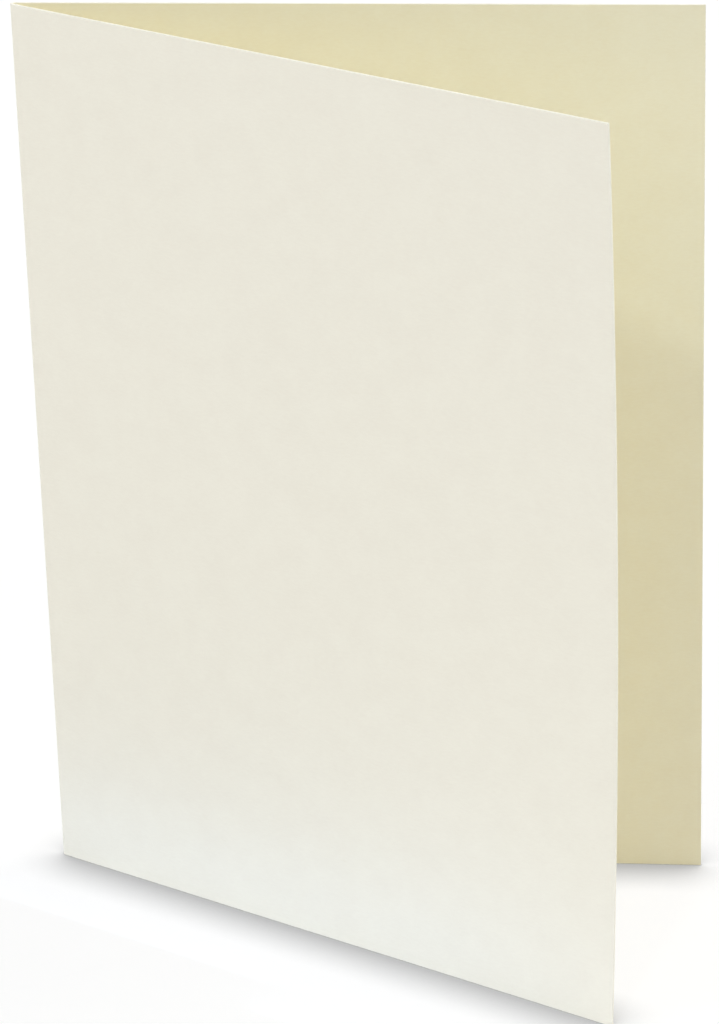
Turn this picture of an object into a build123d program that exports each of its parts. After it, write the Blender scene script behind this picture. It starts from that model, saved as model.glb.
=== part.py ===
from build123d import *

import os
from math import cos, pi, radians, sin

# Folded note card: one rectangle of ivory board with a single fold, standing on its lower edges.
# Seen from above it is a V. The fold is at -X, the mouth opens to +X, the front panel is at -Y
# and the back panel at +Y. The origin is on the floor, in the middle of the box around the card.

# Driving dimensions, in millimetres and degrees
SHEET_LENGTH = 210.0  # the flat sheet, across both panels
SHEET_HEIGHT = 148.0  # the flat sheet, along the fold
BOARD_THICKNESS = 0.4
FOLD_INNER_RADIUS = 0.2  # hollow side of the pressed fold
OPENING_ANGLE = 28.2  # between the two panels
FRONT_BOW = 1.9  # how far the front panel's free edge curls inwards at half height

# Sizes that follow from the driving dimensions
HALF_OPENING = radians(OPENING_ANGLE / 2)
FOLD_OUTER_RADIUS = FOLD_INNER_RADIUS + BOARD_THICKNESS
FOLD_MIDDLE_RADIUS = FOLD_INNER_RADIUS + BOARD_THICKNESS / 2
FOLD_LENGTH = (pi - 2 * HALF_OPENING) * FOLD_MIDDLE_RADIUS  # sheet used up by the bend
PANEL_LENGTH = (SHEET_LENGTH - FOLD_LENGTH) / 2  # from the end of the bend to the free edge
MOUTH_X = PANEL_LENGTH * cos(HALF_OPENING) + (FRONT_BOW - FOLD_INNER_RADIUS) * sin(HALF_OPENING)
MIDDLE_X = (MOUTH_X - FOLD_OUTER_RADIUS) / 2  # measured from the fold's own centre

FRONT = -1
BACK = 1


def along(side):
    """Unit direction from the fold to a panel's free edge."""
    return Vector(cos(HALF_OPENING), side * sin(HALF_OPENING))


def outward(side):
    """Unit normal of a panel's outer face."""
    return Vector(-sin(HALF_OPENING), side * cos(HALF_OPENING))


def fold_and_back_panel():
    """The bend, round its own centre, and the flat back panel that runs on from it."""
    outer_back = outward(BACK) * FOLD_OUTER_RADIUS
    inner_back = outward(BACK) * FOLD_INNER_RADIUS
    outer_front = outward(FRONT) * FOLD_OUTER_RADIUS
    inner_front = outward(FRONT) * FOLD_INNER_RADIUS
    outer_end = outer_back + along(BACK) * PANEL_LENGTH
    inner_end = inner_back + along(BACK) * PANEL_LENGTH
    outline = [
        Line(outer_back, outer_end),
        Line(outer_end, inner_end),
        Line(inner_end, inner_back),
        ThreePointArc(inner_back, Vector(-FOLD_INNER_RADIUS, 0), inner_front),
        Line(inner_front, outer_front),
        ThreePointArc(outer_front, Vector(-FOLD_OUTER_RADIUS, 0), outer_back),
    ]
    return extrude(make_face(outline), SHEET_HEIGHT)


def front_face_line(radius, bow):
    """One face of the front panel seen from above: straight out of the bend, then curling inwards."""
    start = outward(FRONT) * radius
    middle = start + along(FRONT) * (PANEL_LENGTH / 2)
    end = start + along(FRONT) * PANEL_LENGTH - outward(FRONT) * bow
    return Bezier(start, middle, end)


def front_section(height, bow):
    """The front panel cut level at one height."""
    outer = front_face_line(FOLD_OUTER_RADIUS, bow)
    inner = front_face_line(FOLD_INNER_RADIUS, bow)
    outline = [outer, Line(outer @ 1, inner @ 1), inner, Line(inner @ 0, outer @ 0)]
    return Pos(0, 0, height) * make_face(outline)


def front_panel():
    """Flat along its lower and upper edges, with its free edge curled inwards between them."""
    lower = front_section(0, 0)
    middle = front_section(SHEET_HEIGHT / 2, FRONT_BOW)
    upper = front_section(SHEET_HEIGHT, 0)
    return loft([lower, middle, upper])


folded_card = Pos(-MIDDLE_X, 0, 0) * (fold_and_back_panel() + front_panel())

os.makedirs("parts", exist_ok=True)
export_step(folded_card, "parts/folded_card.step")
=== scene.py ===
import math

import bpy
from mathutils import Matrix, Vector, noise


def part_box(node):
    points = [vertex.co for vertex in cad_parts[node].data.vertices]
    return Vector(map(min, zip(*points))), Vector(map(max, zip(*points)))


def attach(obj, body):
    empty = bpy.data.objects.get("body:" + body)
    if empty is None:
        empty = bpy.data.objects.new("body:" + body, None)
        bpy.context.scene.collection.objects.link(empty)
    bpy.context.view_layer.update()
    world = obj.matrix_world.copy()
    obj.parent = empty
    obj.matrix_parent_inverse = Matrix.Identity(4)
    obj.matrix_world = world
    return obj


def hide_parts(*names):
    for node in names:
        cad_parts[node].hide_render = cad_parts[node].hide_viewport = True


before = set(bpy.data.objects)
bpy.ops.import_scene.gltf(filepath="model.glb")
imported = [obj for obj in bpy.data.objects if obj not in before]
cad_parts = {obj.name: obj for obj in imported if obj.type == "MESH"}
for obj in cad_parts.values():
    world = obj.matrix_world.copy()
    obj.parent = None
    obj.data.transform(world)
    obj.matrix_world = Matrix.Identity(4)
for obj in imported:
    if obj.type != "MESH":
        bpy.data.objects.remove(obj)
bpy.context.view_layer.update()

mm = 0.001  # sizes below are in millimetres
print("frame loaded:", sorted(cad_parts))


# colours and nodes

def linearColour(hexText):
    channels = [int(hexText[i:i + 2], 16) / 255 for i in (1, 3, 5)]
    curved = [c / 12.92 if c <= 0.04045 else ((c + 0.055) / 1.055) ** 2.4 for c in channels]
    return (*curved, 1.0)


def addNode(tree, kind, settings=None, links=None):
    node = tree.nodes.new(kind)
    for key, value in (settings or {}).items():
        if isinstance(key, int) or key in node.inputs:
            node.inputs[key].default_value = value
        else:
            setattr(node, key, value)
    for socket, source in (links or {}).items():
        tree.links.new(source, node.inputs[socket])
    return node


def newMaterial(name):
    material = bpy.data.materials.new(name)
    material.use_nodes = True
    material.node_tree.nodes.clear()
    return material, material.node_tree


# board surfaces: one recipe, as all three are the same paper stock

outsideBoard = {
    "name": "ivoryBoardCalendered",  # rolled smooth, so even and matt with a faint cloudy formation
    "pale": "#F5F1E4",
    "deep": "#F1ECDF",
    "fleck": "#E4DEC9",
    "roughness": 0.62,
    "toothHeight": 0.006,
}
insideBoard = {
    "name": "creamBoardInsideWithPaintedShade",  # the open side of the same board, with a little more tooth; its deeper cream is partly the board's own and partly painted shade, standing in for the yellowing that shade and light bounced between the two inner faces give
    "pale": "#F0ECD4",
    "deep": "#EDE7CC",
    "fleck": "#E2D9B8",
    "roughness": 0.72,
    "toothHeight": 0.010,
}
cutEdge = {
    "name": "boardCoreGuillotined",  # bare fibres where the knife went through, paler than either face
    "pale": "#F5F3EA",
    "deep": "#EEEBDF",
    "fleck": "#E6E0CF",
    "roughness": 0.85,
    "toothHeight": 0.020,
}
boardGrain = {
    "cloudSize": 5.0,  # cloudy formation seen in pressed pulp
    "cloudDetail": 3.0,
    "cloudRoughness": 0.55,
    "cloudWeight": 0.5,
    "fibreWidth": 0.3,  # real fibres are a tenth of this: drawn coarser so that they show
    "fibreDetail": 2.0,
    "fibreRoughness": 0.6,
    "fibreWeight": 0.5,
    "fibreStretch": 0.22,  # fibres lie along the sheet
    "softRange": (0.3, 0.7),  # over these noise values pale turns to deep
    "fleckSize": 0.9,
    "fleckDetail": 1.0,
    "fleckWeight": 0.12,
    "fleckRange": (0.74, 0.84),  # only the highest noise values show as flecks
    "boardIor": 1.5,
    "glossLevel": 0.2,  # uncoated paper scatters most of its surface reflection
}


def boardMaterial(face):
    grain = boardGrain
    softLow, softHigh = grain["softRange"]
    fleckLow, fleckHigh = grain["fleckRange"]
    material, tree = newMaterial(face["name"])
    place = addNode(tree, "ShaderNodeTexCoord").outputs["Object"]
    stretched = addNode(tree, "ShaderNodeMapping", {"Scale": (grain["fibreStretch"], 1, 1)},
                        {"Vector": place})
    along = stretched.outputs["Vector"]
    # three sizes of noise
    clouds = addNode(tree, "ShaderNodeTexNoise",
                     {"Scale": 1 / (grain["cloudSize"] * mm), "Detail": grain["cloudDetail"],
                      "Roughness": grain["cloudRoughness"]},
                     {"Vector": place})
    fibres = addNode(tree, "ShaderNodeTexNoise",
                     {"Scale": 1 / (grain["fibreWidth"] * mm), "Detail": grain["fibreDetail"],
                      "Roughness": grain["fibreRoughness"]},
                     {"Vector": along})
    flecks = addNode(tree, "ShaderNodeTexNoise",
                     {"Scale": 1 / (grain["fleckSize"] * mm), "Detail": grain["fleckDetail"]},
                     {"Vector": along})
    # how much of each shows
    cloudShare = addNode(tree, "ShaderNodeMapRange",
                         {"From Min": softLow, "From Max": softHigh, "To Max": grain["cloudWeight"]},
                         {"Value": clouds.outputs["Fac"]})
    fibreShare = addNode(tree, "ShaderNodeMapRange",
                         {"From Min": softLow, "From Max": softHigh, "To Max": grain["fibreWeight"]},
                         {"Value": fibres.outputs["Fac"]})
    fleckShare = addNode(tree, "ShaderNodeMapRange",
                         {"From Min": fleckLow, "From Max": fleckHigh, "To Max": grain["fleckWeight"]},
                         {"Value": flecks.outputs["Fac"]})
    depth = addNode(tree, "ShaderNodeMath", {"operation": "ADD"},
                    {0: cloudShare.outputs["Result"], 1: fibreShare.outputs["Result"]})
    # pale to deep, then the flecks: a Mix node takes colours at sockets 6 and 7 and gives one at 2
    ground = addNode(tree, "ShaderNodeMix",
                     {"data_type": "RGBA", 6: linearColour(face["pale"]), 7: linearColour(face["deep"])},
                     {0: depth.outputs["Value"]})
    colour = addNode(tree, "ShaderNodeMix", {"data_type": "RGBA", 7: linearColour(face["fleck"])},
                     {0: fleckShare.outputs["Result"], 6: ground.outputs[2]})
    tooth = addNode(tree, "ShaderNodeBump", {"Strength": 1.0, "Distance": face["toothHeight"] * mm},
                    {"Height": fibres.outputs["Fac"]})
    shader = addNode(tree, "ShaderNodeBsdfPrincipled",
                     {"Roughness": face["roughness"], "IOR": grain["boardIor"],
                      "Specular IOR Level": grain["glossLevel"]},
                     {"Base Color": colour.outputs[2], "Normal": tooth.outputs["Normal"]})
    addNode(tree, "ShaderNodeOutputMaterial", links={"Surface": shader.outputs["BSDF"]})
    return material


# the card itself: one sheet, bent round the fold

foldedCard = {
    "sheetLength": 210.0,  # flat, across both panels
    "boardThickness": 0.4,
    "foldInnerRadius": 0.2,
    "openingAngle": 28.2,  # degrees
    "frontBow": 1.9,  # the front panel's free edge curls in by this much at half height
    "creaseDepth": 0.035,  # hollow beside the fold, where the scoring rule pressed
    "creaseWidth": 0.7,
    "cockleHeight": 0.10,  # slow waves that board takes up from damp air
    "cockleSpan": 42.0,
    "cockleStretch": 0.7,  # the waves are longer up the card than across it
    "cockleSlice": 3.7,  # where in the noise the waves are cut
    "cockleStart": 25.0,  # this far from the fold they have their full height
    "knifeRound": 0.06,  # corners of the cut edge, softened by the knife
    "knifeSteps": 3,
    "knifeAngle": 50,  # degrees, and only corners sharper than this are softened
    "gridStep": 1.5,
    "foldSteps": 18,
    "nearEdge": (0.0, 0.14, 0.4, 0.9),  # closer rows beside a cut edge
    "nearFold": (0.12, 0.28, 0.45, 0.62, 0.8, 1.0, 1.25, 1.6, 2.1, 2.8),  # closer columns beside the fold
    "leastStep": 0.5,
}
frontSide, backSide = -1, 1
outsideSlot, insideSlot, edgeSlot = range(3)
lowCorner, highCorner = (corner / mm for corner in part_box("folded_card"))
cardHeight = highCorner.z - lowCorner.z
halfOpening = math.radians(foldedCard["openingAngle"] / 2)
middleRadius = foldedCard["foldInnerRadius"] + foldedCard["boardThickness"] / 2
outerRadius = foldedCard["foldInnerRadius"] + foldedCard["boardThickness"]
foldCentre = Vector((lowCorner.x + outerRadius, 0, lowCorner.z))
foldHalf = (math.pi / 2 - halfOpening) * middleRadius  # half the length of sheet that goes round the bend
panelLength = foldedCard["sheetLength"] / 2 - foldHalf


def panelWays(side):
    along = Vector((math.cos(halfOpening), side * math.sin(halfOpening), 0))  # from fold to free edge
    outward = Vector((-math.sin(halfOpening), side * math.cos(halfOpening), 0))
    return along, outward


def smooth(share):
    share = min(max(share, 0.0), 1.0)
    return share * share * (3 - 2 * share)


def frontBow(reach, height):
    tall = height / cardHeight
    upCurve = 4 * tall * (1 - tall)  # none at the two ends, all of it at half height
    return foldedCard["frontBow"] * upCurve * (reach / panelLength) ** 2


def cockle(across, height, reach):
    span = foldedCard["cockleSpan"]
    place = Vector((across / span, height / span * foldedCard["cockleStretch"], foldedCard["cockleSlice"]))
    return noise.noise(place) * foldedCard["cockleHeight"] * smooth(reach / foldedCard["cockleStart"])


def crease(reach):
    width = foldedCard["creaseWidth"]
    return foldedCard["creaseDepth"] * math.exp(-((reach - width) / (width / 2)) ** 2)


def sheetPoint(across, height, out):
    side = frontSide if across < 0 else backSide
    rise = Vector((0, 0, height))
    reach = abs(across) - foldHalf
    if reach <= 0:
        turn = across / middleRadius
        return foldCentre + Vector((-math.cos(turn), math.sin(turn), 0)) * (middleRadius + out) + rise
    along, outward = panelWays(side)
    lift = cockle(across, height, reach) - crease(reach)
    if side == frontSide:
        lift -= frontBow(reach, height)
    return foldCentre + along * reach + outward * (middleRadius + out + lift) + rise


def edgeStations(length):
    nearEdge = foldedCard["nearEdge"]
    middle = length - 2 * nearEdge[-1]
    count = round(middle / foldedCard["gridStep"])
    inner = [nearEdge[-1] + middle * i / count for i in range(1, count)]
    return [*nearEdge, *inner, *(length - s for s in reversed(nearEdge))]


def acrossStations():
    nearFold, steps = foldedCard["nearFold"], foldedCard["foldSteps"]
    panel = [s for s in edgeStations(panelLength) if s > nearFold[-1] + foldedCard["leastStep"]]
    reaches = [*nearFold, *panel]
    bend = [foldHalf * (2 * i / steps - 1) for i in range(steps + 1)]
    return [-foldHalf - r for r in reversed(reaches)] + bend + [foldHalf + r for r in reaches]


def buildCard():
    acrossList, upList = acrossStations(), edgeStations(cardHeight)
    columns, rows = len(acrossList), len(upList)
    half = foldedCard["boardThickness"] / 2
    points = [sheetPoint(a, h, out) * mm for out in (half, -half) for a in acrossList for h in upList]

    def spot(layer, i, j):  # layer 0 is the outside, layer 1 the inside
        return (layer * columns + i) * rows + j

    faces, slots = [], []
    for i in range(columns - 1):
        for j in range(rows - 1):
            faces.append((spot(0, i, j), spot(0, i, j + 1), spot(0, i + 1, j + 1), spot(0, i + 1, j)))
            faces.append((spot(1, i, j), spot(1, i + 1, j), spot(1, i + 1, j + 1), spot(1, i, j + 1)))
            slots += [outsideSlot, insideSlot]
        for j, (first, second) in ((0, (0, 1)), (rows - 1, (1, 0))):  # lower and upper cut edge
            faces.append((spot(first, i, j), spot(first, i + 1, j),
                          spot(second, i + 1, j), spot(second, i, j)))
            slots.append(edgeSlot)
    for j in range(rows - 1):
        for i, (first, second) in ((0, (1, 0)), (columns - 1, (0, 1))):  # the two free edges
            faces.append((spot(first, i, j), spot(first, i, j + 1),
                          spot(second, i, j + 1), spot(second, i, j)))
            slots.append(edgeSlot)
    mesh = bpy.data.meshes.new("card_sheet")
    mesh.from_pydata(points, [], faces)
    mesh.polygons.foreach_set("material_index", slots)
    mesh.polygons.foreach_set("use_smooth", [True] * len(faces))
    for face in (outsideBoard, insideBoard, cutEdge):  # in the order of the slots
        mesh.materials.append(boardMaterial(face))
    card = bpy.data.objects.new("card_sheet", mesh)
    bpy.context.scene.collection.objects.link(card)
    softened = card.modifiers.new("knifeRound", "BEVEL")
    softened.width = foldedCard["knifeRound"] * mm
    softened.segments = foldedCard["knifeSteps"]
    softened.limit_method = "ANGLE"
    softened.angle_limit = math.radians(foldedCard["knifeAngle"])
    softened.material = edgeSlot
    return card


card = buildCard()
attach(card, "root")
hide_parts("folded_card")
print("card built:", len(card.data.polygons), "faces")


# floor and light: a white table among soft lamps

studio = {
    "tableSeen": "#FFFFFF",  # what the camera gets
    "tableBounce": "#E2E2E2",  # what lights the card from below
    "tableGlow": 0.8,  # share of plain white in what the camera gets; the rest keeps the lamps' shadows
    "tableHalf": 4000.0,
    "tableDrop": 0.02,  # keeps the table clear of the card's lower edge
    "contactReach": 9.2,  # how far the shadow at the card's foot spreads over the table
    "contactSamples": 16,
    "skyColour": "#FFFFFF",
    "skyStrength": 0.28,
    "bounces": 12,  # light goes to and fro between the two inner faces
}
softLamps = {  # azimuth, elevation, strength, angle, colour
    "leftSoftbox": (-60, 32, 1.10, 40, "#FFFFFF"),
    "rightSoftbox": (45, 32, 0.68, 40, "#FFFFFF"),
    "mouthSoftbox": (120, 45, 1.51, 40, "#FFFAF1"),  # shines down into the open side of the card
    "rearFill": (180, 15, 0.80, 40, "#FFFFFF"),
    "topSoftbox": (0, 90, 0.14, 40, "#FFFFFF"),  # picks out the upper cut edge
    "keyLight": (-2, 48.7, 0.38, 4.5, "#EDFCFF"),  # small, so the front panel's shadow shows on the inside
}
footGlow = {  # light coming off the table onto the lower edge of the front
    "colour": "#A8CCFF",
    "tall": 8.0,
    "wide": 60.0,
    # share along the panel, distance from it, watts
    "spots": ((0.2, 17.0, 0.00095), (0.5, 17.0, 0.00042), (0.8, 25.0, 0.00105)),
}


def raysThatSee(tree):
    rays = addNode(tree, "ShaderNodeLightPath")
    direct = addNode(tree, "ShaderNodeMath", {"operation": "MAXIMUM"},
                     {0: rays.outputs["Is Camera Ray"], 1: rays.outputs["Is Glossy Ray"]})
    every = addNode(tree, "ShaderNodeMath", {"operation": "MAXIMUM"},
                    {0: direct.outputs["Value"], 1: rays.outputs["Is Transmission Ray"]})
    return every.outputs["Value"]


def tableMaterial():
    material, tree = newMaterial("whiteTableMattPainted")  # plain white to the eye, but for the shadow on it
    foot = addNode(tree, "ShaderNodeAmbientOcclusion",
                   {"samples": studio["contactSamples"], "Color": linearColour(studio["tableSeen"]),
                    "Distance": studio["contactReach"] * mm})
    glow = addNode(tree, "ShaderNodeEmission", {"Strength": 1.0}, {"Color": foot.outputs["Color"]})
    lit = addNode(tree, "ShaderNodeBsdfDiffuse", links={"Color": foot.outputs["Color"]})
    seen = addNode(tree, "ShaderNodeMixShader", {0: studio["tableGlow"]},
                   {1: lit.outputs["BSDF"], 2: glow.outputs["Emission"]})
    plain = addNode(tree, "ShaderNodeBsdfDiffuse", {"Color": linearColour(studio["tableBounce"])})
    shown = addNode(tree, "ShaderNodeMixShader",
                    links={0: raysThatSee(tree), 1: plain.outputs["BSDF"], 2: seen.outputs["Shader"]})
    addNode(tree, "ShaderNodeOutputMaterial", links={"Surface": shown.outputs["Shader"]})
    return material


def buildTable():
    reach, level = studio["tableHalf"] * mm, -studio["tableDrop"] * mm
    corners = [(x * reach, y * reach, level) for x, y in ((-1, -1), (1, -1), (1, 1), (-1, 1))]
    mesh = bpy.data.meshes.new("table")
    mesh.from_pydata(corners, [], [(0, 1, 2, 3)])
    mesh.materials.append(tableMaterial())
    table = bpy.data.objects.new("table", mesh)
    bpy.context.scene.collection.objects.link(table)


def buildSky():
    world = bpy.data.worlds.new("whiteRoom")
    world.use_nodes = True
    tree = world.node_tree
    tree.nodes.clear()
    white = linearColour(studio["skyColour"])
    lit = addNode(tree, "ShaderNodeBackground", {"Color": white, "Strength": studio["skyStrength"]})
    seen = addNode(tree, "ShaderNodeBackground", {"Color": white, "Strength": 1.0})
    shown = addNode(tree, "ShaderNodeMixShader",
                    links={0: raysThatSee(tree), 1: lit.outputs["Background"], 2: seen.outputs["Background"]})
    addNode(tree, "ShaderNodeOutputWorld", links={"Surface": shown.outputs["Shader"]})
    bpy.context.scene.world = world


def towards(azimuth, elevation):
    a, e = math.radians(azimuth), math.radians(elevation)
    return Vector((math.sin(a) * math.cos(e), -math.cos(a) * math.cos(e), math.sin(e)))


def hangLamp(lamp, colour, back):
    lamp.color = linearColour(colour)[:3]
    holder = bpy.data.objects.new(lamp.name, lamp)
    holder.rotation_mode = "QUATERNION"
    holder.rotation_quaternion = back.to_track_quat("Z", "Y")  # a lamp shines along its own -Z
    bpy.context.scene.collection.objects.link(holder)
    return holder


def addSun(name, azimuth, elevation, strength, angle, colour):
    lamp = bpy.data.lights.new(name, "SUN")
    lamp.energy = strength
    lamp.angle = math.radians(angle)
    hangLamp(lamp, colour, towards(azimuth, elevation))


def addFootGlow(share, distance, watts):
    lamp = bpy.data.lights.new("footGlow", "AREA")
    lamp.shape = "RECTANGLE"
    lamp.size = footGlow["wide"] * mm
    lamp.size_y = footGlow["tall"] * mm
    lamp.energy = watts
    along, outward = panelWays(frontSide)
    middle = foldCentre + along * panelLength * share + outward * distance
    middle.z = footGlow["tall"] / 2
    holder = hangLamp(lamp, footGlow["colour"], outward)
    holder.location = middle * mm
    holder.visible_camera = False


buildTable()
buildSky()
for name, values in softLamps.items():
    addSun(name, *values)
for values in footGlow["spots"]:
    addFootGlow(*values)
bpy.context.scene.cycles.diffuse_bounces = studio["bounces"]
print("table and light set")


# camera, fitted to the card's edges in the picture

cameraView = {
    "aim": (2.88, -1.0, 70.0),
    "azimuth": 19.81,
    "elevation": 25.55,
    "roll": -1.73,
    "distance": 709.5,
    "lens": 160.91,  # on a sensor that is 36 mm along the picture's tall side
    "sensor": 36.0,
}


def buildCamera():
    eye = bpy.data.cameras.new("viewCamera")
    eye.lens = cameraView["lens"]
    eye.sensor_width = cameraView["sensor"]
    holder = bpy.data.objects.new("viewCamera", eye)
    back = towards(cameraView["azimuth"], cameraView["elevation"])
    place = (Vector(cameraView["aim"]) + back * cameraView["distance"]) * mm
    level = back.to_track_quat("Z", "Y").to_matrix().to_4x4()
    roll = Matrix.Rotation(math.radians(cameraView["roll"]), 4, "Z")
    holder.matrix_world = Matrix.Translation(place) @ level @ roll
    bpy.context.scene.collection.objects.link(holder)
    bpy.context.scene.camera = holder


buildCamera()
bpy.context.scene.view_settings.view_transform = "Standard"
print("camera set")
